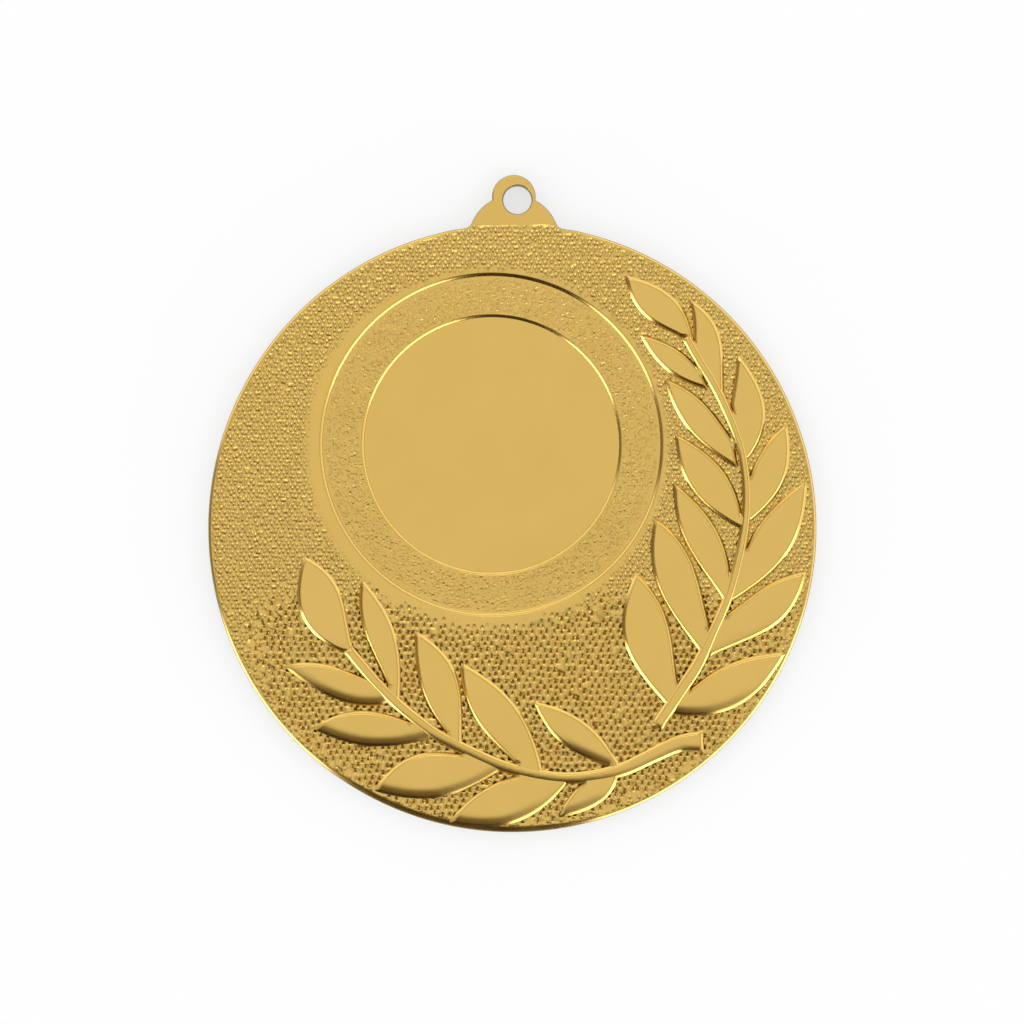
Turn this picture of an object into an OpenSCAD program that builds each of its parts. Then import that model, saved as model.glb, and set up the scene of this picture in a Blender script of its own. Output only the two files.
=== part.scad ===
// Award medal: a 60 mm disc with a hanger tab, a stepped round seat for an emblem and two
// laurel branches in relief. The disc lies flat: its back is on z = 0 around the origin, its
// face looks along +Z and its hanger points along +Y. All sizes are in millimetres.

/* [Disc] */
// Diameter of the disc
disc_d = 60; // [54:1:70]
// Thickness of the disc at its pebbled field
disc_t = 2; // [1.8:0.1:3]
// Radius of the rounded front edge
edge_r = 0.4; // [0.2:0.1:0.6]

/* [Emblem seat] */
// Distance of the seat's centre to the left of the disc's centre
seat_left = 2.05; // [1.5:0.05:2.5]
// Distance of the seat's centre above the disc's centre
seat_up = 8.25; // [7.5:0.05:8.5]
// Diameter of the ledge around the seat
ledge_d = 33.4; // [31:0.2:33.6]
// Depth of the ledge below the field
ledge_depth = 0.3; // [0.2:0.1:0.5]
// Diameter of the seat, a little over the emblem that it takes
seat_d = 25.2; // [20:0.1:27]
// Depth of the seat below the ledge
seat_depth = 0.4; // [0.2:0.1:0.6]

/* [Hanger] */
// Sideways offset of the tab from the disc's centre line
tab_x = 0.15; // [-0.5:0.05:0.5]
// Diameter of the round lobe at the top of the tab
lobe_d = 4.3; // [4.2:0.1:5]
// Height of the lobe's centre above the disc's edge
lobe_up = 2.7; // [2.4:0.1:3.2]
// Radius of the tab's two shoulders
shoulder_r = 4.5; // [4.2:0.1:5]
// Radius of the fillet between each shoulder and the disc
foot_r = 0.6; // [0.3:0.1:1]
// Diameter of the ribbon hole
hole_d = 2.8; // [2:0.1:3]
// Offset of the hole from the lobe's centre, along X and Y
hole_offset = [0.35, -0.3]; // [-0.4:0.05:0.4]

/* [Laurel] */
// Height of the leaves above the field
leaf_h = 0.5; // [0.3:0.05:0.8]
// Height of the stems above the field
stem_h = 0.6; // [0.3:0.05:0.9]

/* [Hidden] */
$fn = 180;
EPS = 0.01;
DESIGN_D = 60;                 // the laurel is laid out on a disc of this diameter
SIZE = disc_d / DESIGN_D;
EDGE_STEPS = 18;               // straight pieces along each edge of a leaf
STEM_STEPS = 5;                // straight pieces between two points of a stem
FULLNESS = 0.9;                // below 1 fills a leaf out towards both of its ends
FOOT_INTO = 1;                 // how far the metal of a foot fillet runs into its neighbours
FOOT_CROSS = 0.005;            // how far a fillet's arc crosses the two arcs that it joins

disc_r = disc_d / 2;
seat_at = [-seat_left * SIZE, seat_up * SIZE];
ledge_z = disc_t - ledge_depth;
seat_z = ledge_z - seat_depth;
tab_root_y = disc_r + 0.1;     // the tab ends here, and below it is the disc's own metal
shoulder_y = disc_r - 1.6;
lobe_at = [tab_x, disc_r + lobe_up];

// Each stem is a list of [x, y, half width], from one end to the other.
RIGHT_STEM = [
    [14.2, -19.6, 0.60], [16.8, -15.7, 0.64], [18.3, -13.4, 0.60], [19.8, -10.2, 0.52],
    [21.2, -7.0, 0.48], [22.2, -3.5, 0.48], [22.9, 0.0, 0.46], [23.1, 3.0, 0.42],
    [22.9, 6.0, 0.42], [22.2, 9.0, 0.44], [20.3, 13.4, 0.46], [18.4, 16.6, 0.48],
    [17.1, 18.9, 0.45]];
LOWER_STEM = [
    [-16.2, -11.9, 0.50], [-15.2, -13.1, 0.54], [-13.5, -15.1, 0.54], [-11.2, -17.4, 0.54],
    [-9.0, -19.2, 0.56], [-7.0, -20.6, 0.56], [-4.0, -22.1, 0.56], [-1.0, -23.4, 0.56],
    [2.0, -24.2, 0.56], [5.0, -24.6, 0.56], [8.0, -24.4, 0.60], [11.0, -23.7, 0.68],
    [14.0, -22.3, 0.74], [16.5, -21.2, 0.84], [18.8, -21.0, 1.02]];

// Each leaf is [tip, left edge, right edge] as seen from its foot, and each edge is
// [foot, bulge, where]: it bends out by the bulge at that share of the way to the tip.
RIGHT_LEAVES = [
    [[11.15, 24.95], [[16.60, 18.85], 1.30, 0.55], [[17.80, 18.70], 1.65, 0.46]],
    [[12.55, 19.15], [[19.45, 13.65], 1.15, 0.50], [[18.35, 15.80], 0.60, 0.48]],
    [[14.95, 14.85], [[22.30, 5.85], 1.40, 0.52], [[21.80, 8.70], 0.85, 0.56]],
    [[16.05, 9.35], [[22.60, -0.10], 1.85, 0.52], [[22.60, 1.50], 1.35, 0.47]],
    [[15.95, 4.50], [[20.80, -7.10], 1.30, 0.58], [[21.55, -4.60], 1.20, 0.48]],
    [[14.05, 1.05], [[18.60, -12.35], 1.95, 0.56], [[19.50, -9.50], 1.30, 0.60]],
    [[12.20, -4.40], [[15.20, -17.40], 2.65, 0.54], [[16.40, -15.30], 1.25, 0.60]],
    [[17.35, 22.70], [[17.80, 18.50], -0.22, 0.50], [[20.95, 13.00], 1.65, 0.60]],
    [[22.20, 17.20], [[21.50, 12.20], -0.05, 0.50], [[23.10, 6.70], 2.25, 0.46]],
    [[27.05, 10.35], [[23.40, 5.20], 0.50, 0.50], [[23.30, 0.60], 1.80, 0.50]],
    [[29.05, 4.80], [[22.90, -2.60], 0.87, 0.43], [[21.50, -7.30], 2.25, 0.52]],
    [[29.00, -4.25], [[20.90, -8.60], 0.70, 0.60], [[19.30, -12.80], 1.95, 0.60]],
    [[27.00, -12.20], [[17.50, -15.80], 0.92, 0.50], [[15.60, -18.20], 2.45, 0.48]]];
LOWER_LEAVES = [
    [[-20.55, -2.75], [[-16.60, -12.25], 2.45, 0.48], [[-15.70, -11.70], 1.50, 0.60]],
    [[-14.85, -5.00], [[-12.00, -16.40], 1.05, 0.62], [[-11.10, -17.00], 1.55, 0.52]],
    [[-9.60, -10.10], [[-5.30, -21.30], 1.50, 0.47], [[-4.95, -21.30], 2.15, 0.56]],
    [[-5.05, -13.25], [[0.70, -23.70], 1.50, 0.58], [[3.00, -24.10], 1.80, 0.50]],
    [[2.00, -17.05], [[9.80, -23.75], 1.25, 0.55], [[10.60, -23.40], 1.40, 0.50]],
    [[-22.45, -13.60], [[-12.10, -17.10], 1.45, 0.42], [[-14.50, -14.70], 0.78, 0.58]],
    [[-19.75, -19.70], [[-7.60, -20.60], 1.32, 0.52], [[-9.80, -19.10], 1.45, 0.54]],
    [[-13.65, -25.85], [[-1.20, -23.85], 1.68, 0.50], [[-4.60, -22.30], 1.80, 0.52]],
    [[-6.25, -28.95], [[5.60, -24.90], 2.15, 0.50], [[0.40, -24.30], 0.70, 0.52]],
    [[4.60, -28.50], [[10.40, -24.40], 1.15, 0.42], [[7.30, -24.90], 0.46, 0.45]]];

RIGHT_LEAF_NODES = [for (i = [1:len(RIGHT_LEAVES)]) str("right_leaf_", i)];
LOWER_LEAF_NODES = [for (i = [1:len(LOWER_LEAVES)]) str("lower_leaf_", i)];

// ---- Outlines of the branches ----

// The points of one edge of a leaf, from its foot to its tip; side is 1 for left, -1 for right
function leaf_edge(tip, edge, side) =
    let (
        foot = edge[0],
        along = tip - foot,
        out = side * [-along.y, along.x] / norm(along),
        bend = ln(0.5) / ln(edge[2]))
    [for (i = [0:EDGE_STEPS])
        let (t = i / EDGE_STEPS)
        foot + along * t + out * edge[1] * pow(max(0, sin(180 * pow(t, bend))), FULLNESS)];

function reversed(list) = [for (i = [len(list) - 1:-1:0]) list[i]];

function all_but_last(list) = [for (i = [0:len(list) - 2]) list[i]];

module leaf_outline(leaf) {
    left = leaf_edge(leaf[0], leaf[1], 1);
    right = leaf_edge(leaf[0], leaf[2], -1);
    polygon(SIZE * concat(left, reversed(all_but_last(right))));
}

// A smooth curve through the points b and c, at the share t of the way from b to c
function smooth(a, b, c, d, t) =
    0.5 * (2 * b + (c - a) * t + (2 * a - 5 * b + 4 * c - d) * t * t
        + (3 * b - a - 3 * c + d) * t * t * t);

function stem_rings(stem) =
    let (last = len(stem) - 1)
    [for (i = [0:last - 1], j = [0:(i == last - 1 ? STEM_STEPS : STEM_STEPS - 1)])
        smooth(stem[max(i - 1, 0)], stem[i], stem[i + 1], stem[min(i + 2, last)], j / STEM_STEPS)];

function stem_side(rings, side) =
    let (last = len(rings) - 1)
    [for (i = [0:last])
        let (
            step = rings[min(i + 1, last)] - rings[max(i - 1, 0)],
            across = side * [-step.y, step.x] / norm([step.x, step.y]))
        [rings[i].x, rings[i].y] + across * rings[i].z];

module stem_outline(stem) {
    rings = stem_rings(stem);
    polygon(SIZE * concat(stem_side(rings, 1), reversed(stem_side(rings, -1))));
}

// ---- Outlines of the disc and its hanger ----

// The metal that rounds the inner corner between a shoulder and the disc, on one side
module foot_fillet(side) {
    shoulder_at = [tab_x, shoulder_y];
    to_disc = disc_r + foot_r - FOOT_CROSS;
    to_shoulder = shoulder_r + foot_r - FOOT_CROSS;
    reach = norm(shoulder_at);
    turn = acos((reach * reach + to_disc * to_disc - to_shoulder * to_shoulder)
        / (2 * reach * to_disc));
    angle = atan2(shoulder_at.y, shoulder_at.x) - side * turn;
    centre = to_disc * [cos(angle), sin(angle)];
    in_disc = centre * (disc_r - FOOT_INTO) / to_disc;
    in_shoulder = shoulder_at + (centre - shoulder_at) * (shoulder_r - FOOT_INTO) / to_shoulder;
    difference() {
        // counterclockwise on both sides
        polygon(side < 0 ? [centre, in_disc, in_shoulder] : [centre, in_shoulder, in_disc]);
        translate(centre) circle(r = foot_r);
    }
}

module tab_outline() {
    translate([tab_x, shoulder_y]) circle(r = shoulder_r);
    translate(lobe_at) circle(d = lobe_d);
    for (side = [-1, 1]) foot_fillet(side);
}

module above_tab_root() {
    translate([-disc_r, tab_root_y]) square([disc_d, disc_d]);
}

module disc_outline() {
    difference() {
        union() {
            circle(r = disc_r);
            tab_outline();
        }
        above_tab_root();
    }
}

// What is cut away to round the disc's front edge, which stays square at the tab's root
module edge_rounding() {
    difference() {
        rotate_extrude() translate([disc_r - edge_r, disc_t - edge_r])
            difference() {
                square(2 * edge_r);
                circle(r = edge_r);
            }
        translate([tab_x - shoulder_r, 0, 0]) cube([2 * shoulder_r, disc_d, 2 * disc_t]);
    }
}

// ---- Sub-parts ----

module disc_blank() {
    color("goldenrod") linear_extrude(seat_z) disc_outline();
}

module pebbled_field() {
    color("darkgoldenrod") difference() {
        translate([0, 0, seat_z]) linear_extrude(disc_t - seat_z) disc_outline();
        translate([seat_at.x, seat_at.y, 0]) cylinder(d = ledge_d * SIZE, h = 2 * disc_t);
        edge_rounding();
    }
}

module seat_ledge() {
    color("goldenrod") translate([seat_at.x, seat_at.y, seat_z]) difference() {
        cylinder(d = ledge_d * SIZE, h = seat_depth);
        translate([0, 0, -EPS]) cylinder(d = seat_d, h = seat_depth + 2 * EPS);
    }
}

module hanger_tab() {
    color("gold") difference() {
        linear_extrude(disc_t) intersection() {
            tab_outline();
            above_tab_root();
        }
        translate([lobe_at.x + hole_offset.x, lobe_at.y + hole_offset.y, -EPS])
            cylinder(d = hole_d, h = disc_t + 2 * EPS);
    }
}

module stem(points) {
    color("gold") translate([0, 0, disc_t]) linear_extrude(stem_h) stem_outline(points);
}

// A leaf stops where it meets the stem that it grows from
module leaf(shape, stem_points) {
    color("gold") translate([0, 0, disc_t]) linear_extrude(leaf_h) difference() {
        leaf_outline(shape);
        stem_outline(stem_points);
    }
}

disc_blank();
pebbled_field();
seat_ledge();
hanger_tab();
stem(RIGHT_STEM);  // right_stem
stem(LOWER_STEM);  // lower_stem
for (i = [0:len(RIGHT_LEAVES) - 1])
    leaf(RIGHT_LEAVES[i], RIGHT_STEM);
for (i = [0:len(LOWER_LEAVES) - 1])
    leaf(LOWER_LEAVES[i], LOWER_STEM);
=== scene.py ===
import math

import bpy
import numpy as np
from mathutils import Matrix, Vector
from mathutils.geometry import delaunay_2d_cdt
from mathutils.kdtree import KDTree


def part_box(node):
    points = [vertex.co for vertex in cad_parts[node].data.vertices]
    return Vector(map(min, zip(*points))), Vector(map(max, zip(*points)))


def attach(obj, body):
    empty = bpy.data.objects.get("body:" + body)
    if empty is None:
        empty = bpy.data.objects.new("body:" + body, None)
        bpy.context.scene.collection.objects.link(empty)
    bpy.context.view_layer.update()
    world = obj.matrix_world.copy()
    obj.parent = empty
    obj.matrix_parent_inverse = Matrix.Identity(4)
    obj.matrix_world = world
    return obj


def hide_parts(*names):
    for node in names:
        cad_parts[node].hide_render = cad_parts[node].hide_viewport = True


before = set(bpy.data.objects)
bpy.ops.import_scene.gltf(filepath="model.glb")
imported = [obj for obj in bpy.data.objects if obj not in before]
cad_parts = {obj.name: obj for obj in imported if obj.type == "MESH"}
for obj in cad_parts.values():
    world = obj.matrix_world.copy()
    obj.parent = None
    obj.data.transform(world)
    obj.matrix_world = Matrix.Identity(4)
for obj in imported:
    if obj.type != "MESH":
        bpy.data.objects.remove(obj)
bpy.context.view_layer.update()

# The award medal's visual model. All shapes are worked out in millimetres in the frame's own
# axes, from the outlines and heights of the CAD nodes, and scaled to metres when a mesh is made.

MM = 0.001                # metres in a millimetre
LEVEL = 0.002             # mm within which points count as at the same height
ON_LINE = 0.01            # mm within which a point is on the line between the disc and the tab
SAME_PLACE = 0.001        # mm within which two ends are the same point
CORNER = 25               # degrees by which the outline of a leaf or stem turns at a corner
ROOT_CORNER = 15          # and that of the disc, the field or the tab
HEX_ROW = 0.866           # the height of a hexagonal grid's row, as a share of its pitch
CHUNK = 4000              # points that are worked on at once, which keeps the memory small
SHARP = 58                # degrees between two faces beyond which their edge is shaded sharp


# ---- Reading the frame ----

def box_mm(node):
    """The low and high corners of a CAD node's box."""
    low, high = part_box(node)
    return np.array(low) / MM, np.array(high) / MM


def signed_area(loop):
    """The area inside a closed loop, negative where the loop runs clockwise."""
    x, y = loop[:, 0], loop[:, 1]
    return 0.5 * float(np.sum(x * np.roll(y, -1) - np.roll(x, -1) * y))


def face_loops(node, z):
    """The counterclockwise outlines of a CAD node's flat faces at height z, largest first."""
    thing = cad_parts[node]
    points = [thing.matrix_world @ v.co / MM for v in thing.data.vertices]
    keys = [(round(p.x, 4), round(p.y, 4)) for p in points]
    level = [abs(p.z - z) < LEVEL for p in points]
    rim = set()
    for polygon in thing.data.polygons:
        ids = list(polygon.vertices)
        if not all(level[i] for i in ids):
            continue
        for a, b in zip(ids, ids[1:] + ids[:1]):
            if (keys[b], keys[a]) in rim:
                rim.remove((keys[b], keys[a]))
            else:
                rim.add((keys[a], keys[b]))
    after = dict(sorted(rim))
    loops = []
    while after:
        start, here = after.popitem()
        loop = [start]
        while here != start:
            loop.append(here)
            here = after.pop(here)
        loop = np.array(loop)
        loops.append(loop if signed_area(loop) > 0 else loop[::-1])
    return sorted(loops, key=signed_area, reverse=True)


# ---- Curves ----

def turns(loop):
    """The angle in degrees by which a closed loop turns at each of its points."""
    before = loop - np.roll(loop, 1, axis=0)
    after = np.roll(loop, -1, axis=0) - loop
    cross = before[:, 0] * after[:, 1] - before[:, 1] * after[:, 0]
    return np.degrees(np.arctan2(cross, np.sum(before * after, axis=1)))


def spline(points, step):
    """Points about a step apart on a smooth curve through the given ones, and its directions."""
    gaps = np.linalg.norm(np.diff(points, axis=0), axis=1)
    slopes = np.diff(points, axis=0) / gaps[:, None]
    tangents = np.empty_like(points)
    tangents[1:-1] = (slopes[:-1] * gaps[1:, None] + slopes[1:] * gaps[:-1, None]) / (
        gaps[:-1] + gaps[1:])[:, None]
    if len(points) > 2:
        tangents[0] = 2 * slopes[0] - tangents[1]
        tangents[-1] = 2 * slopes[-1] - tangents[-2]
    else:
        tangents[0] = tangents[-1] = slopes[0]
    reach = np.concatenate([[0], np.cumsum(gaps)])
    count = max(1, int(math.ceil(reach[-1] / step)))
    at = np.linspace(0, reach[-1], count + 1)
    i = np.clip(np.searchsorted(reach, at, side="right") - 1, 0, len(gaps) - 1)
    h = gaps[i][:, None]
    t = ((at - reach[i]) / gaps[i])[:, None]
    p0, p1, m0, m1 = points[i], points[i + 1], tangents[i] * h, tangents[i + 1] * h
    curve = ((2 * t**3 - 3 * t**2 + 1) * p0 + (t**3 - 2 * t**2 + t) * m0
             + (3 * t**2 - 2 * t**3) * p1 + (t**3 - t**2) * m1)
    along = ((6 * t**2 - 6 * t) * p0 + (3 * t**2 - 4 * t + 1) * m0
             + (6 * t - 6 * t**2) * p1 + (3 * t**2 - 2 * t) * m1)
    return curve, along / np.linalg.norm(along, axis=1)[:, None]


def runs(loop, limit):
    """The stretches of a closed loop between its sharp corners, each with both of its ends."""
    sharp = np.flatnonzero(np.abs(turns(loop)) > limit)
    if not len(sharp):
        return [np.vstack([loop, loop[:1]])]
    loop = np.roll(loop, -sharp[0], axis=0)
    ends = list(sharp - sharp[0]) + [len(loop)]
    closed = np.vstack([loop, loop[:1]])
    return [closed[a:b + 1] for a, b in zip(ends, ends[1:])]


def distance(points, segments):
    """The distance of each point to the nearest of the segments, an array of pairs of ends."""
    a, b = segments[:, 0], segments[:, 1]
    along = b - a
    length2 = np.maximum(np.sum(along * along, axis=1), 1e-12)
    best = np.full(len(points), np.inf)
    for start in range(0, len(points), CHUNK):
        p = points[start:start + CHUNK, None, :]
        t = np.clip(np.sum((p - a) * along, axis=2) / length2, 0, 1)
        gap = p - (a + t[:, :, None] * along)
        best[start:start + CHUNK] = np.sqrt(np.min(np.sum(gap * gap, axis=2), axis=1))
    return best


def pairs(loop):
    """The segments of a closed loop, as pairs of ends."""
    return np.stack([loop, np.roll(loop, -1, axis=0)], axis=1)


def inside(points, loop):
    """Whether each point is inside a closed loop."""
    x, y = points[:, 0][:, None], points[:, 1][:, None]
    x0, y0 = loop[:, 0], loop[:, 1]
    x1, y1 = np.roll(x0, -1), np.roll(y0, -1)
    crosses = (y0 > y) != (y1 > y)
    with np.errstate(divide="ignore", invalid="ignore"):
        at = x0 + (y - y0) * (x1 - x0) / (y1 - y0)
    return np.sum(crosses & (x < at), axis=1) % 2 == 1


def hex_grid(low, high, pitch):
    """The points of a hexagonal grid between two corners."""
    rows = int((high[1] - low[1]) / (pitch * HEX_ROW)) + 1
    out = []
    for row in range(rows):
        y = low[1] + row * pitch * HEX_ROW
        xs = np.arange(low[0] + (row % 2) * pitch / 2, high[0], pitch)
        out.append(np.column_stack([xs, np.full(len(xs), y)]))
    return np.vstack(out)


def ease(value):
    """0 below 0, 1 above 1 and smooth in between."""
    t = np.clip(value, 0, 1)
    return t * t * (3 - 2 * t)


def ramp(value, start, end):
    """0 before the start, 1 beyond the end, which may be the lower one, and smooth in between."""
    return ease((value - start) / (end - start))


def wheel(sides):
    """Unit vectors all the way around."""
    angles = np.linspace(0, 2 * math.pi, sides, endpoint=False)
    return np.column_stack([np.cos(angles), np.sin(angles)])


def at_height(flat, z):
    """Flat points raised to a height, or each one to its own."""
    return np.column_stack([flat, np.broadcast_to(z, len(flat))])


# ---- Meshes ----

def make_piece(name, points, faces, material, slot, *nodes, sharp=SHARP):
    """A mesh object that stands for the CAD nodes, from points in millimetres. It is shaded
    smooth except where two faces meet at more than the sharp angle."""
    mesh = bpy.data.meshes.new(name)
    mesh.from_pydata([tuple(p) for p in (np.asarray(points) * MM).tolist()], [], faces)
    mesh.validate()
    mesh.polygons.foreach_set("use_smooth", [True] * len(mesh.polygons))
    mesh.set_sharp_from_angle(angle=math.radians(sharp))
    mesh.materials.append(material)
    piece = bpy.data.objects.new(name, mesh)
    bpy.context.scene.collection.objects.link(piece)
    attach(piece, "root")
    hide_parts(*nodes)
    return piece


def patch(points, outline, hole=None):
    """Flat points and the upward triangles over them, inside the outline and outside the hole,
    which are lists of indices. Where the outline crosses itself there is a new point."""
    edges = list(zip(outline, outline[1:] + outline[:1]))
    if hole:
        edges += list(zip(hole, hole[1:] + hole[:1]))
    result = delaunay_2d_cdt([Vector(p) for p in points[:, :2].tolist()], edges, [], 0, 1e-7)
    flat = np.array([tuple(p) for p in result[0]])
    found = np.array(result[2])
    middles = flat[found].mean(axis=1)
    keep = np.ones(len(found), bool)
    for start in range(0, len(found), CHUNK):
        part = slice(start, start + CHUNK)
        keep[part] = inside(middles[part], points[outline, :2])
        if hole:
            keep[part] &= ~inside(middles[part], points[hole, :2])
    a, b, c = (flat[found[:, i]] for i in range(3))
    turn = (b[:, 0] - a[:, 0]) * (c[:, 1] - a[:, 1]) - (b[:, 1] - a[:, 1]) * (c[:, 0] - a[:, 0])
    return flat, [tuple(f if up > 0 else f[::-1]) for f, up, k in
                  zip(found.tolist(), turn, keep) if k and abs(up) > 1e-12]


def triangles(points, outline, hole):
    """The triangles of a patch that has no points of its own."""
    flat, found = patch(points, outline, hole)
    assert len(flat) == len(points), "two points of a patch fall together"
    return found


def rims(faces):
    """The closed loops of indices around a patch, in the direction of its faces' edges."""
    edges = {(a, b) for f in faces for a, b in zip(f, f[1:] + f[:1])}
    after = {}
    for a, b in sorted(edges):
        if (b, a) not in edges:
            after.setdefault(a, []).append(b)
    loops = []
    while after:
        start = here = next(iter(after))
        loop = []
        while not loop or here != start:
            loop.append(here)
            ahead = after[here].pop()
            if not after[here]:
                del after[here]
            here = ahead
        loops.append(loop)
    return loops


def band(first, second, closed=True):
    """Quads between two rows of indices; the second row lies to the left of the first."""
    count = len(first) if closed else len(first) - 1
    n = len(first)
    return [(first[i], first[(i + 1) % n], second[(i + 1) % n], second[i]) for i in range(count)]


def stitch(rows, start=0, closed=False):
    """The indices of rows of points, counted from the start, and the quads between the rows."""
    count = len(rows[0])
    ids = [list(range(start + k * count, start + (k + 1) * count)) for k in range(len(rows))]
    return ids, [face for low, high in zip(ids, ids[1:]) for face in band(low, high, closed)]


def face_around(points, row, ring, up):
    """The triangles of a flat face between the row of indices around it and that around its
    hole, which face up or down."""
    chosen = row + ring
    count = len(row)
    found = triangles(points[chosen], list(range(count)), list(range(count, len(chosen))))
    return [tuple(chosen[i] for i in (f if up else f[::-1])) for f in found]


def round_rows(centre, radius, profile, sides):
    """Rings of points around a centre, from (reach beyond the radius, height) steps."""
    return [at_height(centre + wheel(sides) * (radius + reach), z) for reach, z in profile]


def bevel(*knots):
    """The (inward, downward) steps across a bevel from its (inward, slope in degrees) knots,
    which go from the wall to the flat face."""
    inward, slope = np.array(knots, float).T
    slope = np.tan(np.radians(slope))
    rise = np.concatenate([[0], np.cumsum((slope[:-1] + slope[1:]) / 2 * np.diff(inward))])
    return list(zip(inward.tolist(), (rise[-1] - rise).tolist()))


# ---- Relief: leaves and stems ----

OUTLINE_STEP = 0.2        # mm between points along a leaf or stem
GRID_STEP = 0.3           # mm between points inside it
RELIEF_SINK = 0.18        # how far leaves and stems run down into the textured field
GRID_CLEAR = 0.4          # the gap between the grid and the rings, as a share of its step
RING_CLEAR = 0.985        # how near a ring's point may be to a free edge, as a share of its depth
LEAST_INSIDE = 0.006      # the least distance of such points from the outline
CROWN_REACH = 0.5         # mm over which the flat of a leaf or stem eases down to its bevel
CROWN = 0.012             # and by how much
LEAF_BEVEL = bevel((0, 45), (0.14, 42), (0.28, 38), (0.32, 20), (0.36, 4))
STEM_BEVEL = bevel((0, 45), (0.12, 42), (0.23, 38), (0.26, 20), (0.30, 4))
HOLD = 0.06               # the last ring just inside a bevel keeps its flat neighbour flat
SOFT_LEAF = (1.35, 0.21)  # the lower side of a low leaf rounds off: over mm, by mm
SOFT_STEM = (0.85, 0.14)
GENTLER = 0.45            # how much less steep a fully rounded side's bevel is
SOFT_FACING = (0.5, 0.95)  # how squarely an edge faces down where that starts and is full
SOFT_HEIGHTS = (-2, -16)  # the heights on the face where leaves start to have it and have it all
RELIEF_SHARP = 30         # like SHARP, on leaves and stems
FOOT_DEPTH = 0.3          # how far a leaf's foot goes into the stem
TOUCHING, CLOSE_BY = 0.04, 0.16   # the foot is what touches the stem, or else what is close to it


def relief_points(edge, profile):
    """Points inside a relief outline: rings across its bevel, then an even grid."""
    outline, directions, segments, free = edge
    normals = np.column_stack([-directions[:, 1], directions[:, 0]])
    width = profile[-1][0]
    rings = []
    for depth in [inward for inward, _ in profile[1:]] + [width + HOLD]:
        ring = (outline + normals * depth)[free]
        rings.append(ring[distance(ring, segments) > depth * RING_CLEAR])
    grid = hex_grid(outline.min(axis=0), outline.max(axis=0), GRID_STEP)
    grid = grid[distance(grid, segments) > width + HOLD + GRID_STEP * GRID_CLEAR]
    points = np.vstack(rings + [grid])
    points = points[inside(points, outline)]
    return points[distance(points, pairs(outline)) > LEAST_INSIDE]


def nearness(points, segments, reach):
    """How near each point is to a segment that faces down: 1 on it, 0 at the reach. Segments
    that don't face down squarely count for less."""
    way = segments[:, 1] - segments[:, 0]
    facing = way[:, 0] / np.maximum(np.linalg.norm(way, axis=1), 1e-9)
    weight = ramp(facing, *SOFT_FACING)
    best = np.zeros(len(points))
    for segment, share in zip(segments, weight):
        if share > 0:
            gap = distance(points, segment[None])
            best = np.maximum(best, share * (1 - np.clip(gap / reach, 0, 1)))
    return best


def relief(node, edge, profile, soft, material):
    """A closed relief solid on the field: a bevel along its free edges around an almost flat
    top, which rounds off along the edges that face down, by soft's (reach, drop)."""
    low, high = box_mm(node)
    outline, _, segments, _ = edge
    inner = relief_points(edge, profile)
    flat, faces = patch(np.vstack([outline, inner]), list(range(len(outline))))
    depth = distance(flat, segments)
    inward, down = np.array(profile).T
    drop = np.interp(depth, inward, down) + CROWN * (1 - np.clip(depth / CROWN_REACH, 0, 1)) ** 2
    near = nearness(flat, segments, soft[0])
    drop *= 1 - GENTLER * near * soft[1] / SOFT_LEAF[1]
    drop += soft[1] * near ** 2
    points = at_height(flat, high[2] - drop)
    for rim in rims(faces):
        below = list(range(len(points), len(points) + len(rim)))
        points = np.vstack([points, at_height(flat[rim], low[2] - RELIEF_SINK)])
        faces += band(below, rim) + [tuple(below[::-1])]
    return make_piece(node, points, faces, material, "relief_gold", node, sharp=RELIEF_SHARP)


def closed_curve(loop, step):
    """A closed loop redrawn as points a step apart that keep its corners, with directions."""
    points, directions = [], []
    for run in runs(loop, CORNER):
        curve, along = spline(run, step)
        points.append(curve[:-1])
        directions.append(along[:-1])
    return np.vstack(points), np.vstack(directions)


def free_edge(points, directions):
    """An outline that is free all the way round: its points, the directions along it, the
    segments of its free edges, and whether each point is on a free edge."""
    return points, directions, pairs(points), np.ones(len(points), bool)


def leaf_edge(loop, stem):
    """A leaf's outline with its foot pushed into the stem, as in free_edge."""
    points, directions = closed_curve(loop, OUTLINE_STEP)
    ahead = np.roll(points, -1, axis=0)
    gaps = np.max([distance(p, pairs(stem)) for p in (points, ahead, (points + ahead) / 2)],
                  axis=0)
    foot = gaps < (TOUCHING if gaps.min() < TOUCHING else CLOSE_BY)
    if not foot.any():
        return free_edge(points, directions)
    start = next(i for i in range(len(foot)) if foot[i] and not foot[i - 1])
    points, directions, foot = (np.roll(a, -start, axis=0) for a in (points, directions, foot))
    count = int(foot.sum())
    if not foot[:count].all():
        return free_edge(points, directions)
    across = points[count] - points[0]
    push = FOOT_DEPTH * np.array([across[1], -across[0]]) / np.linalg.norm(across)
    segments = pairs(points)[~foot]
    outline = np.vstack([points[:count + 1] + push, points[count:], points[:1]])
    free = np.arange(len(outline)) > count
    directions = np.vstack([directions[:count + 1], directions[count:], directions[:1]])
    return outline, directions, segments, free


def make_leaf(node, stem, material):
    low, high = box_mm(node)
    share = float(ramp((low[1] + high[1]) / 2, *SOFT_HEIGHTS))
    soft = (SOFT_LEAF[0], SOFT_LEAF[1] * share)
    return relief(node, leaf_edge(face_loops(node, high[2])[0], stem), LEAF_BEVEL, soft, material)


def make_stem(node, material):
    outline = face_loops(node, box_mm(node)[1][2])[0]
    edge = free_edge(*closed_curve(outline, OUTLINE_STEP))
    return relief(node, edge, STEM_BEVEL, SOFT_STEM, material)


# ---- Plates: their edges, the disc and the tab ----

EDGE_STEP = 0.3           # mm between columns along the medal's edge
TAB_STEP = 0.15           # and along the tab's
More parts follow.
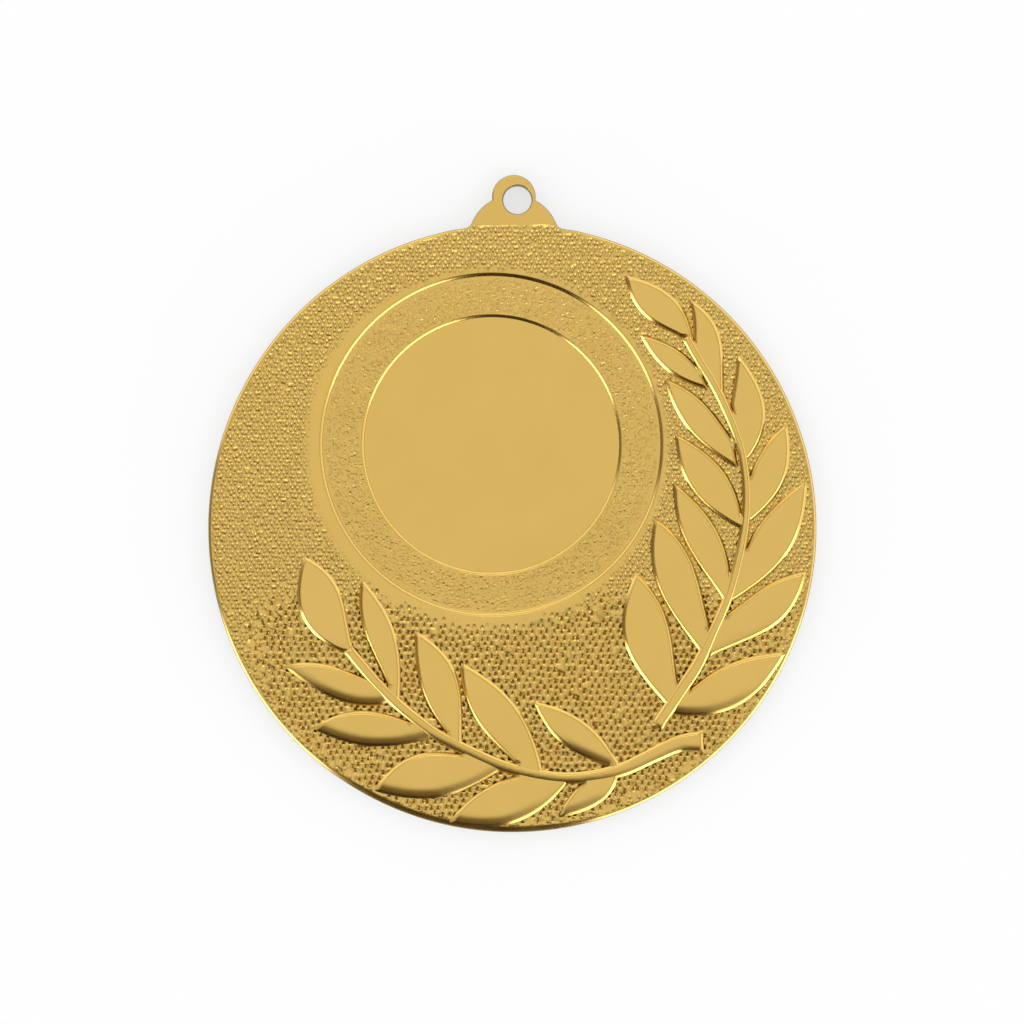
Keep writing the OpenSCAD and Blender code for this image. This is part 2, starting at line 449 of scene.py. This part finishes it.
# the rounding of the front edge, at the foot of the disc and on the tab
FRONT_EDGE = bevel((0, 72), (0.03, 68), (0.05, 60), (0.055, 42), (0.08, 41), (0.30, 39),
                   (0.50, 34), (0.58, 18), (0.62, 4))
TAB_EDGE = bevel((0, 74), (0.04, 70), (0.07, 66), (0.075, 44), (0.085, 42), (0.10, 40),
                 (0.12, 33), (0.13, 18), (0.14, 4))
SIDE_SHARE = 0.35         # the disc's rounding away from the foot, as a share of that at the foot
FOOT_HEIGHTS = (-21, -27)  # where on the face it widens to the full, going down
FOOT_RIGHT = (12, 2)      # and going left along the foot
TAB_HEIGHTS = (28.8, 29.5)              # where it thins out to the tab's, going up
BACK_RINGS, BACK_REACH, BACK_DROP = 4, 0.15, 0.25   # rounding of the back edge: rings, in and up
HOLE_SIDES = 72
HOLE_EDGE = bevel((0, 76), (0.05, 70), (0.08, 60), (0.10, 10))
THIN_HOLD = 0.02          # like HOLD, but it has to fit in the narrow metal beside the hole


def open_curve(loop, root_y, step):
    """The part of an outline that isn't the root line, from one end of it to the other, and the
    inward direction of each of its columns. Columns at the ends run along the root line."""
    stretches = [r for r in runs(loop, ROOT_CORNER)
                 if np.ptp(r[:, 1]) > ON_LINE or abs(r[0, 1] - root_y) > ON_LINE]
    chain = [next(r for r in stretches if abs(r[0, 1] - root_y) < ON_LINE and
                  all(np.linalg.norm(r[0] - q[-1]) > SAME_PLACE for q in stretches))]
    while len(chain) < len(stretches):
        end = chain[-1][-1]
        chain.append(next(r for r in stretches if np.linalg.norm(r[0] - end) < SAME_PLACE))
    points, normals = [], []
    for k, run in enumerate(chain):
        curve, along = spline(run, step)
        normal = np.column_stack([-along[:, 1], along[:, 0]])
        if k:
            corner = normals[-1][-1] + normal[0]
            normals[-1][-1] = corner / (1 + float(normals[-1][-1] @ normal[0]))
            curve, normal = curve[1:], normal[1:]
        points.append(curve)
        normals.append(normal)
    points, normals = np.vstack(points), np.vstack(normals)
    for end in (0, -1):
        sign = math.copysign(1, normals[end][0])
        normals[end] = [sign / abs(normals[end][0]), 0]
    return points, normals


def back_edge():
    """The rounding of the back edge as (inward, upward) steps from the flat face to the wall."""
    angles = [math.pi / 2 * k / BACK_RINGS for k in range(BACK_RINGS, -1, -1)]
    return [(BACK_REACH * (1 - math.cos(a)), BACK_DROP * (1 - math.sin(a))) for a in angles]


def rounding(curve):
    """How much of the full edge rounding each point of an outline has: all of it at the foot of
    the disc, less above, and none on the tab."""
    x, y = curve.T
    wide = SIDE_SHARE + (1 - SIDE_SHARE) * ramp(y, *FOOT_HEIGHTS) * ramp(x, *FOOT_RIGHT)
    return wide * (1 - ramp(y, *TAB_HEIGHTS))


def shell(curve, normals, top, bottom, front=True, back=True):
    """Rows of points around a plate: from its bottom face, up its wall, to its top face, with
    its front edge, its back edge or both rounded."""
    rows = [at_height(curve + normals * inward, bottom + up)
            for inward, up in (back_edge() if back else [(0, 0)])]
    if not front:
        return rows + [at_height(curve, top)]
    share = rounding(curve)
    for (inward, down), (thin_inward, thin_down) in zip(FRONT_EDGE, TAB_EDGE):
        reach = thin_inward + (inward - thin_inward) * share
        drop = thin_down + (down - thin_down) * share
        rows.append(at_height(curve + normals * reach[:, None], top - drop))
    return rows + [at_height(curve + normals * (reach[:, None] + THIN_HOLD), top)]


def root_face(ids):
    """The flat end of a plate on the line between the disc and the tab, from its rows' ends."""
    return tuple([row[0] for row in ids][::-1] + [row[-1] for row in ids])


def make_disc_blank(material):
    low, high = box_mm("disc_blank")
    curve, normals = open_curve(face_loops("disc_blank", high[2])[0], high[1], EDGE_STEP)
    rows = shell(curve, normals, high[2], low[2], front=False)
    ids, faces = stitch(rows)
    faces += [tuple(ids[-1]), tuple(ids[0][::-1]), root_face(ids)]
    return make_piece("disc_blank", np.vstack(rows), faces, material, "plain_gold", "disc_blank")


def make_tab(material):
    low, high = box_mm("hanger_tab")
    outline, hole = face_loops("hanger_tab", high[2])
    curve, normals = open_curve(outline, low[1], TAB_STEP)
    rows = shell(curve, normals, high[2], low[2])
    ids, faces = stitch(rows)
    # the wall of the hole, from the front face to the back one
    centre = (hole.min(axis=0) + hole.max(axis=0)) / 2
    radius = float(np.ptp(hole[:, 0])) / 2
    edge = HOLE_EDGE + [(HOLE_EDGE[-1][0] + THIN_HOLD, 0)]
    profile = [(reach, high[2] - down) for reach, down in reversed(edge)]
    profile += [(reach, low[2] + down) for reach, down in edge]
    hole_rows = round_rows(centre, radius, profile, HOLE_SIDES)
    rings, found = stitch(hole_rows, len(rows) * len(curve), closed=True)
    points = np.vstack(rows + hole_rows)
    faces += found
    faces += face_around(points, ids[-1], rings[0], up=True)
    faces += face_around(points, ids[0], rings[-1], up=False)
    faces.append(root_face(ids))
    return make_piece("hanger_tab", points, faces, material, "plain_gold", "hanger_tab")


# ---- The pebbled field ----

# the bevelled top of both steps around the seat: the field's and the ledge's
RECESS_EDGE = bevel((0, 44), (0.02, 43), (0.12, 40), (0.23, 38), (0.26, 20), (0.29, 4))
STEP_REACH = RECESS_EDGE[-1][0]
FIELD_SIDES = 420
BORDER = 0.28             # mm of plain metal along the medal's edge
PEBBLE_GAP, PIT_GAP = 0.45, 0.69        # mm from one spot to the next, before the jitter
PEBBLE_R, PIT_R = 0.20, 0.18
PEBBLE_H, PIT_DEPTH = 0.070, 0.18
SIZE_LEAST, SIZE_SPREAD = 0.8, 0.4      # what the radii above are multiplied by
HEIGHT_LEAST, HEIGHT_SPREAD = 0.75, 0.5  # and the heights and depths
LIP_H, LIP_REACH = 0.05, 0.9            # the raised lip around a pit, in mm and in radii
JITTER = 0.22             # how far a spot strays from its place, as a share of the gap
LEAST_GAP = 0.62          # the least distance between spots, as a share of the gap
MIX_LEAST, MIX_SPREAD = 0.15, 0.7       # the random share of pits beyond which a spot is one
PIT_HEIGHTS = (-3.5, -11.5)             # where on the face pits take over, going down
PIT_RIM = (29.7, 28.5)    # and going in from the rim
PIT_LEFT = (-29, -22)     # and going right from the left side
SEAT_MARGIN = 0.25        # mm of plain metal beyond the bevelled step
ROOT_MARGIN = 0.26        # and along the foot of the tab
COVER_MARGIN = 0.25       # how far a spot may lie under a leaf or stem
UNDER_TAB = (28.5, 0.15, 4.2)           # spots go on up to the tab: from here, middle, half width
FADE = 1.8                # mm over which the texture fades out towards the ledge
FADE_START = 0.35         # mm of no texture before that, per mm of fading
WEST = 215                # the direction from the seat, in degrees, where it fades furthest out
FADE_LEAST = 0.45         # the share of the fading that is left on the other side
FADE_FACING = (-0.3, 0.6)  # the cosines of the angle to that direction between which it grows
NEIGHBOURS = 3            # the spots around a point that can shape it
LOOSE_GRID = 0.9          # mm between the points of the smooth areas
LOOSE_CLEAR = 0.62        # and the least distance from them to a spot
LEAST_SPACING = 0.03      # mm; points closer to an edge or in the same cell of this size are dropped
# rings of points around each spot: their radius as a share of its own, their number, and
# whether only pits have them
RINGS = ((0.5, 6, False), (0.97, 7, False), (1.45, 9, True))
# the mesh layer of each point's depth in a pit, which the material turns into painted shade
DEPTH_LAYER = "pit_depth"
SPOT_SEED, RING_SEED = 11, 23


def pit_share(x, y):
    """How far the texture is pitted rather than pebbled at a place on the face, 0 to 1."""
    return ramp(y, *PIT_HEIGHTS) * ramp(np.hypot(x, y), *PIT_RIM) * ramp(x, *PIT_LEFT)


def scatter(low, high, draw):
    """Places for pebbles and pits on the face, and whether each is a pit."""
    places, kinds = [], []
    for gap, is_pit in ((PIT_GAP, True), (PEBBLE_GAP, False)):
        grid = hex_grid(low, high, gap)
        grid = grid + (draw.random(grid.shape) - 0.5) * 2 * JITTER * gap
        chance = draw.random(len(grid))
        share = pit_share(grid[:, 0], grid[:, 1])
        kept = grid[(MIX_LEAST + MIX_SPREAD * chance < share) == is_pit]
        places.append(kept)
        kinds.append(np.full(len(kept), is_pit))
    places, kinds = np.vstack(places), np.concatenate(kinds)
    # a pebble too near to a pit or to an earlier pebble is left out
    cells, keep = {}, []
    for i, (x, y) in enumerate(places.tolist()):
        cell = (int(x // PIT_GAP), int(y // PIT_GAP))
        near = [q for a in (-1, 0, 1) for b in (-1, 0, 1)
                for q in cells.get((cell[0] + a, cell[1] + b), ())]
        gap = LEAST_GAP * (PIT_GAP if kinds[i] else PEBBLE_GAP)
        if all((x - q[0]) ** 2 + (y - q[1]) ** 2 >= gap * gap for q in near):
            cells.setdefault(cell, []).append((x, y))
            keep.append(i)
    return places[keep], kinds[keep]


def texture_spots(seat, ledge_r, disc_r, root_y, covers):
    """Centres, radii and heights (negative for a pit) of the field's pebbles and pits."""
    draw = np.random.default_rng(SPOT_SEED)
    spots, is_pit = scatter((-disc_r, -disc_r), (disc_r, root_y), draw)
    x, y = spots.T
    from_seat = np.hypot(x - seat[0], y - seat[1]) - ledge_r
    ok = (from_seat > STEP_REACH + SEAT_MARGIN) & (y < root_y - ROOT_MARGIN)
    tab_y, tab_x, tab_half = UNDER_TAB
    ok &= (np.hypot(x, y) < disc_r - BORDER) | ((y > tab_y) & (np.abs(x - tab_x) < tab_half))
    for cover in covers:
        ok &= ~(inside(spots, cover) & (distance(spots, pairs(cover)) > COVER_MARGIN))
    spots, is_pit, from_seat = spots[ok], is_pit[ok], from_seat[ok]
    size = SIZE_LEAST + SIZE_SPREAD * draw.random(len(spots))
    radius = np.where(is_pit, PIT_R, PEBBLE_R) * size
    tall = HEIGHT_LEAST + HEIGHT_SPREAD * draw.random(len(spots))
    height = np.where(is_pit, -PIT_DEPTH, PEBBLE_H) * tall
    way = np.arctan2(spots[:, 1] - seat[1], spots[:, 0] - seat[0])
    west = ramp(np.cos(way - math.radians(WEST)), *FADE_FACING)
    smooth_to = FADE * (FADE_LEAST + (1 - FADE_LEAST) * west)
    fade = ease((from_seat - FADE_START * smooth_to) / smooth_to)
    return spots, radius, height * fade


def relief_height(points, spots, radius, height):
    """The height of the texture at each point: domed pebbles and steep round pits."""
    tree = KDTree(len(spots))
    for i, (x, y) in enumerate(spots.tolist()):
        tree.insert((x, y, 0), i)
    tree.balance()
    up, down = np.zeros(len(points)), np.zeros(len(points))
    for i, (x, y) in enumerate(points.tolist()):
        for _, j, gap in tree.find_n((x, y, 0), NEIGHBOURS):
            u = gap / radius[j]
            if height[j] > 0 and u < 1:
                up[i] = max(up[i], height[j] * (1 - u * u))
            elif height[j] < 0 and u < 1:
                down[i] = min(down[i], height[j] * (1 - u ** 3))
            elif height[j] < 0 and u < 1 + LIP_REACH:
                lip = math.sin(math.pi * (u - 1) / LIP_REACH) ** 2
                up[i] = max(up[i], LIP_H * lip * height[j] / -PIT_DEPTH)
    return np.where(down < 0, down, up)


def field_points(spots, radius, is_pit, low, high):
    """Points to carry the texture: the spots, rings around them and a loose grid elsewhere."""
    draw = np.random.default_rng(RING_SEED)
    found = [spots]
    for reach, sides, pits_only in RINGS:
        turn = draw.random(len(spots)) * 2 * math.pi
        for k in range(sides):
            angle = turn + 2 * math.pi * k / sides
            ring = np.column_stack([np.cos(angle), np.sin(angle)]) * (radius * reach)[:, None]
            found.append((spots + ring)[is_pit | (not pits_only)])
    grid = hex_grid(low, high, LOOSE_GRID)
    far = np.array([np.min(np.hypot(*(spots - place).T)) > LOOSE_CLEAR for place in grid])
    return np.vstack(found + [grid[far]])


def textured_face(seat, ledge_r, disc_r, root_y, edge, covers):
    """The points of the field's face, inside its edge and outside the step around the seat, and
    how far each one is lifted."""
    spots, radius, height = texture_spots(seat, ledge_r, disc_r, root_y, covers)
    points = field_points(spots, radius, height < 0, (-disc_r, -disc_r), (disc_r, root_y))
    ok = inside(points, edge) & (distance(points, pairs(edge)) > LEAST_SPACING)
    ok &= np.hypot(*(points - seat).T) > ledge_r + STEP_REACH + LEAST_SPACING
    points = points[ok]
    cells = np.round(points / LEAST_SPACING)
    points = points[np.unique(cells, axis=0, return_index=True)[1]]
    return points, relief_height(points, spots, radius, height)


def make_field(material, covers):
    low, high = box_mm("pebbled_field")
    disc_r = (high[0] - low[0]) / 2
    outline = face_loops("pebbled_field", low[2])[0]
    curve, normals = open_curve(outline, high[1], EDGE_STEP)
    rows = shell(curve, normals, high[2], low[2], back=False)
    ids, faces = stitch(rows)
    # the bevelled step down to the ledge
    ledge_low, ledge_high = box_mm("seat_ledge")
    seat = ((ledge_low + ledge_high) / 2)[:2]
    ledge_r = (ledge_high[0] - ledge_low[0]) / 2
    profile = [(reach, high[2] - down) for reach, down in reversed(RECESS_EDGE)] + [(0, low[2])]
    step_rows = round_rows(seat, ledge_r, profile, FIELD_SIDES)
    rings, found = stitch(step_rows, len(rows) * len(curve), closed=True)
    points = np.vstack(rows + step_rows)
    faces += found
    # the textured face, whose own points follow the others
    extra, lift = textured_face(seat, ledge_r, disc_r, high[1], points[ids[-1], :2], covers)
    around = ids[-1] + rings[0]
    flat = np.vstack([points[around], at_height(extra, high[2] + lift)])
    count = len(curve)
    found = triangles(flat, list(range(count)), list(range(count, len(around))))
    offset = len(points) - len(around)
    faces += [tuple(around[i] if i < len(around) else i + offset for i in f) for f in found]
    # how deep each point lies in a pit, for the painted shade of the pits
    depth = np.concatenate([np.zeros(len(points)), np.clip(-lift / PIT_DEPTH, 0, 1)])
    points = np.vstack([points, flat[len(around):]])
    # the hidden underside and the end under the tab
    faces += face_around(points, ids[0], rings[-1], up=False)
    faces.append(root_face(ids))
    piece = make_piece("pebbled_field", points, faces, material, "pebbled_gold", "pebbled_field")
    layer = piece.data.attributes.new(DEPTH_LAYER, "FLOAT", "POINT")
    layer.data.foreach_set("value", depth)
    return piece


# ---- The ledge around the seat ----

LEDGE_SIDES, LEDGE_RINGS = 1000, 42     # points around its flat face and rings across it
LEDGE_FILLET = 0.08       # mm that the ledge curves up at the foot of the field's step
FILLET_RISE = 0.6         # and how far up, as a share of that
GRAIN_H = 0.038           # mm that the grain goes up and down
GRAIN_IN, GRAIN_OUT = 0.14, 0.1         # the shares of the width over which it comes and goes
GRAIN_SEED = 5


def make_ledge(material):
    low, high = box_mm("seat_ledge")
    top, bottom = high[2], low[2]
    outer = (high[0] - low[0]) / 2
    inner = float(np.ptp(face_loops("seat_ledge", top)[1][:, 0])) / 2
    profile = [(inner, bottom)] + [(inner + reach, top - down) for reach, down in RECESS_EDGE]
    flat_from = len(profile)
    foot = outer - LEDGE_FILLET
    radii = np.linspace(inner + STEP_REACH, foot, LEDGE_RINGS + 1)[1:]
    profile += [(r, top) for r in radii]
    for a in (math.pi / 6, math.pi / 3, math.pi / 2):
        rise = LEDGE_FILLET * FILLET_RISE * (1 - math.cos(a))
        profile.append((outer - LEDGE_FILLET * (1 - math.sin(a)), top + rise))
    profile.append((outer, bottom))
    rows = round_rows(((low + high) / 2)[:2], 0, profile, LEDGE_SIDES)
    draw = np.random.default_rng(GRAIN_SEED)
    for r, row in zip(radii[:-1], rows[flat_from:]):
        across = (r - inner) / (outer - inner)
        amount = GRAIN_H * ease(across / GRAIN_IN) * ease((1 - across) / GRAIN_OUT)
        row[:, 2] += amount * (draw.random(LEDGE_SIDES) * 2 - 1)
    ids, faces = stitch(rows, closed=True)
    faces = [face[::-1] for face in faces + band(ids[-1], ids[0])]
    return make_piece("seat_ledge", np.vstack(rows), faces, material, "grained_gold", "seat_ledge")


# ---- Materials ----

def add(tree, kind, **inputs):
    """A new node of a kind, with its settings."""
    node = tree.nodes.new(kind)
    for key, value in inputs.items():
        if hasattr(node, key):
            setattr(node, key, value)
    return node


def noise(tree, coords, scale, detail, rough=0.5):
    """A noise texture's value."""
    node = add(tree, "ShaderNodeTexNoise")
    node.inputs["Scale"].default_value = scale
    node.inputs["Detail"].default_value = detail
    node.inputs["Roughness"].default_value = rough
    tree.links.new(coords, node.inputs["Vector"])
    return node.outputs["Fac"]


def remap(tree, value, low, high, to_low=0.0, to_high=1.0, kind="LINEAR"):
    """The value spread from one range to another, and held at its ends."""
    node = add(tree, "ShaderNodeMapRange", interpolation_type=kind)
    for key, number in (("From Min", low), ("From Max", high), ("To Min", to_low),
                        ("To Max", to_high)):
        node.inputs[key].default_value = number
    tree.links.new(value, node.inputs["Value"])
    return node.outputs["Result"]


def mix_colour(tree, share, first, second):
    """first where the share is 0 and second where it is 1."""
    node = add(tree, "ShaderNodeMix", data_type="RGBA")
    for socket, value in ((node.inputs[6], first), (node.inputs[7], second)):
        if isinstance(value, tuple):
            socket.default_value = (*value, 1)
        else:
            tree.links.new(value, socket)
    tree.links.new(share, node.inputs[0])
    return node.outputs[2]


def bump(tree, height, depth):
    """The surface's normal, with a height in it."""
    node = add(tree, "ShaderNodeBump")
    node.inputs["Strength"].default_value = 1.0
    node.inputs["Distance"].default_value = depth
    tree.links.new(height, node.inputs["Height"])
    return node.outputs["Normal"]


def calc(tree, operation, first, second=None):
    """The result of a sum on one or two values, each a number or another node's output."""
    node = add(tree, "ShaderNodeMath", operation=operation)
    for socket, value in zip(node.inputs, (first, second)):
        if isinstance(value, (int, float)):
            socket.default_value = value
        elif value is not None:
            tree.links.new(value, socket)
    return node.outputs[0]


GOLD = (0.755, 0.506, 0.137)
GOLD_DEEP = (0.735, 0.489, 0.127)     # what it slowly changes to, and back
WALL_SHADE = (0.15, 0.105, 0.045)         # painted shade on the steep walls, for the dark reflections and shade there
PIT_SHADE = (0.47, 0.30, 0.08)         # and painted shade in the pits
WALL_SHADE_TILT = (0.48, 0.66)              # the upward share of the normal: all painted shade, and none
PIT_SHADE_DEPTHS = (0.1, 0.7)               # the shares of a pit's depth where its painted shade starts and is full
SLOW_SCALE, GLOSS_SCALE = 160, 420    # waves per metre of the changes in colour and in gloss
NOISE_RANGE = (0.3, 0.7)              # the part of a noise's range that it mostly stays in


def gold(name, roughness, grain, pitted=False):
    """Gold plating on brass: slow colour and gloss changes between two roughnesses, a fine grain
    by its (waves per metre, depth in millimetres), painted shade on steep walls and, where
    pitted, painted shade in the pits."""
    material = bpy.data.materials.new(name)
    material.use_nodes = True
    tree = material.node_tree
    shader = tree.nodes["Principled BSDF"]
    coords = add(tree, "ShaderNodeTexCoord").outputs["Object"]
    slow = remap(tree, noise(tree, coords, SLOW_SCALE, 4), *NOISE_RANGE)
    colour = mix_colour(tree, slow, GOLD, GOLD_DEEP)
    facing = add(tree, "ShaderNodeSeparateXYZ")
    tree.links.new(add(tree, "ShaderNodeNewGeometry").outputs["Normal"], facing.inputs[0])
    up = calc(tree, "ABSOLUTE", facing.outputs[2])
    if pitted:
        # painted shade in the pits, darker the deeper the point
        layer = add(tree, "ShaderNodeAttribute", attribute_name=DEPTH_LAYER).outputs["Fac"]
        colour = mix_colour(tree, remap(tree, layer, *PIT_SHADE_DEPTHS), colour, PIT_SHADE)
    # painted shade on the steep walls, darker the steeper they are
    wall = remap(tree, up, *WALL_SHADE_TILT, 1.0, 0.0)
    tree.links.new(mix_colour(tree, wall, colour, WALL_SHADE), shader.inputs["Base Color"])
    gloss = remap(tree, noise(tree, coords, GLOSS_SCALE, 3), *NOISE_RANGE, *roughness)
    tree.links.new(gloss, shader.inputs["Roughness"])
    fine = noise(tree, coords, grain[0], 3, 0.6)
    tree.links.new(bump(tree, fine, grain[1] * MM), shader.inputs["Normal"])
    shader.inputs["Metallic"].default_value = 1.0
    return material


# ---- Studio ----

# panels low around the table: middle and half width in degrees, softness, brightness and how
# far up each one reaches, in degrees from the zenith
PANELS = [
    (-101, 25, 2.0, 0.05, 60),
    (-144, 17, 2.0, 8.0, 79),
    (-47, 28, 2.0, 7.0, 79),
    (-178, 17, 4.0, 0.30, 66),
]
PANEL_SOFT = 3            # the softness of their upper edges and of the middle's, in degrees
SIDE_LIGHT = 1.9          # the brightness between the panels
# the zones above the panels, each inside the one before it: the angle from the zenith where it
# ends, its softness and its brightness
MIDDLE, RING, TOP = (77, PANEL_SOFT, 1.1), (58, 4, 0.74), (15, 6, 1.20)
RING_LOW = 0.16           # the ring's brightness above the first panel
KEY = (96, 34)            # the place of a small bright light: azimuth, degrees from the zenith
KEY_LIGHT = (12, 4, 3.0)  # and its radius, softness and brightness
# the colour of the tent, that of its dimmest parts, and the brightness where that one ends
TENT, WARM, WARM_UP_TO = (0.8, 0.8, 0.8), (0.8, 0.53, 0.24), 0.6
ROOM_LIGHT = 1.03         # what lights the floor evenly
FLOOR_WHITE, FLOOR_GLOW = 0.36, 0.675   # a lit table under the medal
FLOOR_HALF = 3.0          # m from its middle to its edges
VIEW_WIDTH = 100.96       # mm of the face across the picture
VIEW_CENTRE = (-0.03, 1.61)
VIEW_DISTANCE = 430       # mm above the face
SENSOR = 36


def blend(tree, share, first, second):
    """first where the share is 0 and second where it is 1."""
    change = calc(tree, "SUBTRACT", second, first)
    return calc(tree, "ADD", first, calc(tree, "MULTIPLY", share, change))


def cone(tree, toward, angle, soft):
    """1 within an angle of a direction, from the cosine of the angle to it."""
    return remap(tree, toward, math.cos(math.radians(angle + soft)),
                 math.cos(math.radians(angle - soft)), kind="SMOOTHSTEP")


def shine(tree, level, toward, zone):
    """The brightness with a round zone of (angle, softness, brightness) put over it."""
    angle, soft, light = zone
    return blend(tree, cone(tree, toward, angle, soft), level, light)


def dot(tree, axes, direction):
    """The sum of the axes' products with the direction's numbers."""
    parts = [calc(tree, "MULTIPLY", axis, value) for axis, value in zip(axes, direction)]
    total = parts[0]
    for part in parts[1:]:
        total = calc(tree, "ADD", total, part)
    return total


def tent_level(tree):
    """The brightness of the light tent in each direction."""
    split = add(tree, "ShaderNodeSeparateXYZ")
    tree.links.new(add(tree, "ShaderNodeTexCoord").outputs["Generated"], split.inputs[0])
    x, y, z = split.outputs
    flat = calc(tree, "SQRT", calc(tree, "ADD", calc(tree, "MULTIPLY", x, x),
                                   calc(tree, "MULTIPLY", y, y)))
    flat = calc(tree, "MAXIMUM", flat, 1e-4)
    heading = [calc(tree, "DIVIDE", axis, flat) for axis in (x, y)]
    level = shine(tree, SIDE_LIGHT, z, MIDDLE)
    ring = None
    for middle, half, soft, light, reach in PANELS:
        ahead = (math.cos(math.radians(middle)), math.sin(math.radians(middle)))
        share = cone(tree, dot(tree, heading, ahead), half, soft)
        if ring is None:
            ring = blend(tree, share, RING[2], RING_LOW)
        low = calc(tree, "SUBTRACT", 1, cone(tree, z, reach, PANEL_SOFT))
        level = blend(tree, calc(tree, "MULTIPLY", share, low), level, light)
    level = blend(tree, cone(tree, z, *RING[:2]), level, ring)
    azimuth, tilt = math.radians(KEY[0]), math.radians(KEY[1])
    key = (math.sin(tilt) * math.cos(azimuth), math.sin(tilt) * math.sin(azimuth), math.cos(tilt))
    level = shine(tree, level, dot(tree, (x, y, z), key), KEY_LIGHT)
    return shine(tree, level, z, TOP)


def studio_world():
    """A light tent: bright overhead, with lit and dark panels low around the table. The camera
    and matt surfaces see an even room instead."""
    world = bpy.data.worlds.new("studio")
    bpy.context.scene.world = world
    world.use_nodes = True
    tree = world.node_tree
    tree.nodes.clear()
    level = tent_level(tree)
    lights = add(tree, "ShaderNodeBackground")
    tree.links.new(level, lights.inputs["Strength"])
    colour = mix_colour(tree, remap(tree, level, 0.0, WARM_UP_TO), WARM, TENT)
    tree.links.new(colour, lights.inputs["Color"])
    plain = add(tree, "ShaderNodeBackground")
    plain.inputs["Strength"].default_value = ROOM_LIGHT
    path = add(tree, "ShaderNodeLightPath").outputs
    mix = add(tree, "ShaderNodeMixShader")
    tree.links.new(calc(tree, "MAXIMUM", path["Is Camera Ray"], path["Is Diffuse Ray"]),
                   mix.inputs[0])
    tree.links.new(lights.outputs[0], mix.inputs[1])
    tree.links.new(plain.outputs[0], mix.inputs[2])
    out = add(tree, "ShaderNodeOutputWorld")
    tree.links.new(mix.outputs[0], out.inputs["Surface"])


def make_floor():
    """A wide lit table under the medal, which belongs to the set."""
    mesh = bpy.data.meshes.new("floor")
    r = FLOOR_HALF
    mesh.from_pydata([(-r, -r, 0), (r, -r, 0), (r, r, 0), (-r, r, 0)], [], [(0, 1, 2, 3)])
    floor = bpy.data.objects.new("floor", mesh)
    bpy.context.scene.collection.objects.link(floor)
    material = bpy.data.materials.new("floor_white")
    material.use_nodes = True
    shader = material.node_tree.nodes["Principled BSDF"]
    shader.inputs["Base Color"].default_value = (*[FLOOR_WHITE] * 3, 1)
    shader.inputs["Emission Color"].default_value = (1, 1, 1, 1)
    shader.inputs["Emission Strength"].default_value = FLOOR_GLOW
    shader.inputs["Roughness"].default_value = 0.9
    shader.inputs["Specular IOR Level"].default_value = 0.0
    mesh.materials.append(material)


def make_camera():
    """A camera straight above the face, as far off as a photographer would be."""
    data = bpy.data.cameras.new("camera")
    data.sensor_width = SENSOR
    data.lens = SENSOR * VIEW_DISTANCE / VIEW_WIDTH
    camera = bpy.data.objects.new("camera", data)
    face = box_mm("pebbled_field")[1][2]
    camera.location = Vector((*VIEW_CENTRE, face + VIEW_DISTANCE)) * MM
    bpy.context.scene.collection.objects.link(camera)
    bpy.context.scene.camera = camera


def main():
    # the roughness from and to, then the grain's waves per metre and its depth in millimetres
    plain = gold("plain_gold_plate", (0.20, 0.23), (2500, 0.0003))
    pebbled = gold("pebbled_gold_plate", (0.18, 0.23), (3200, 0.002), pitted=True)
    grained = gold("grained_gold_plate", (0.20, 0.25), (3000, 0.003))
    raised = gold("relief_gold_plate", (0.18, 0.21), (2500, 0.0003))
    make_disc_blank(plain)
    make_ledge(grained)
    make_tab(plain)
    covers = []
    for branch in ("right", "lower"):
        stem = face_loops(branch + "_stem", box_mm(branch + "_stem")[1][2])[0]
        covers.append(stem)
        make_stem(branch + "_stem", raised)
        for node in sorted(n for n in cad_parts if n.startswith(branch + "_leaf_")):
            covers.append(face_loops(node, box_mm(node)[1][2])[0])
            make_leaf(node, stem, raised)
    make_field(pebbled, covers)
    studio_world()
    make_floor()
    make_camera()
    bpy.context.scene.view_settings.view_transform = "Standard"


main()
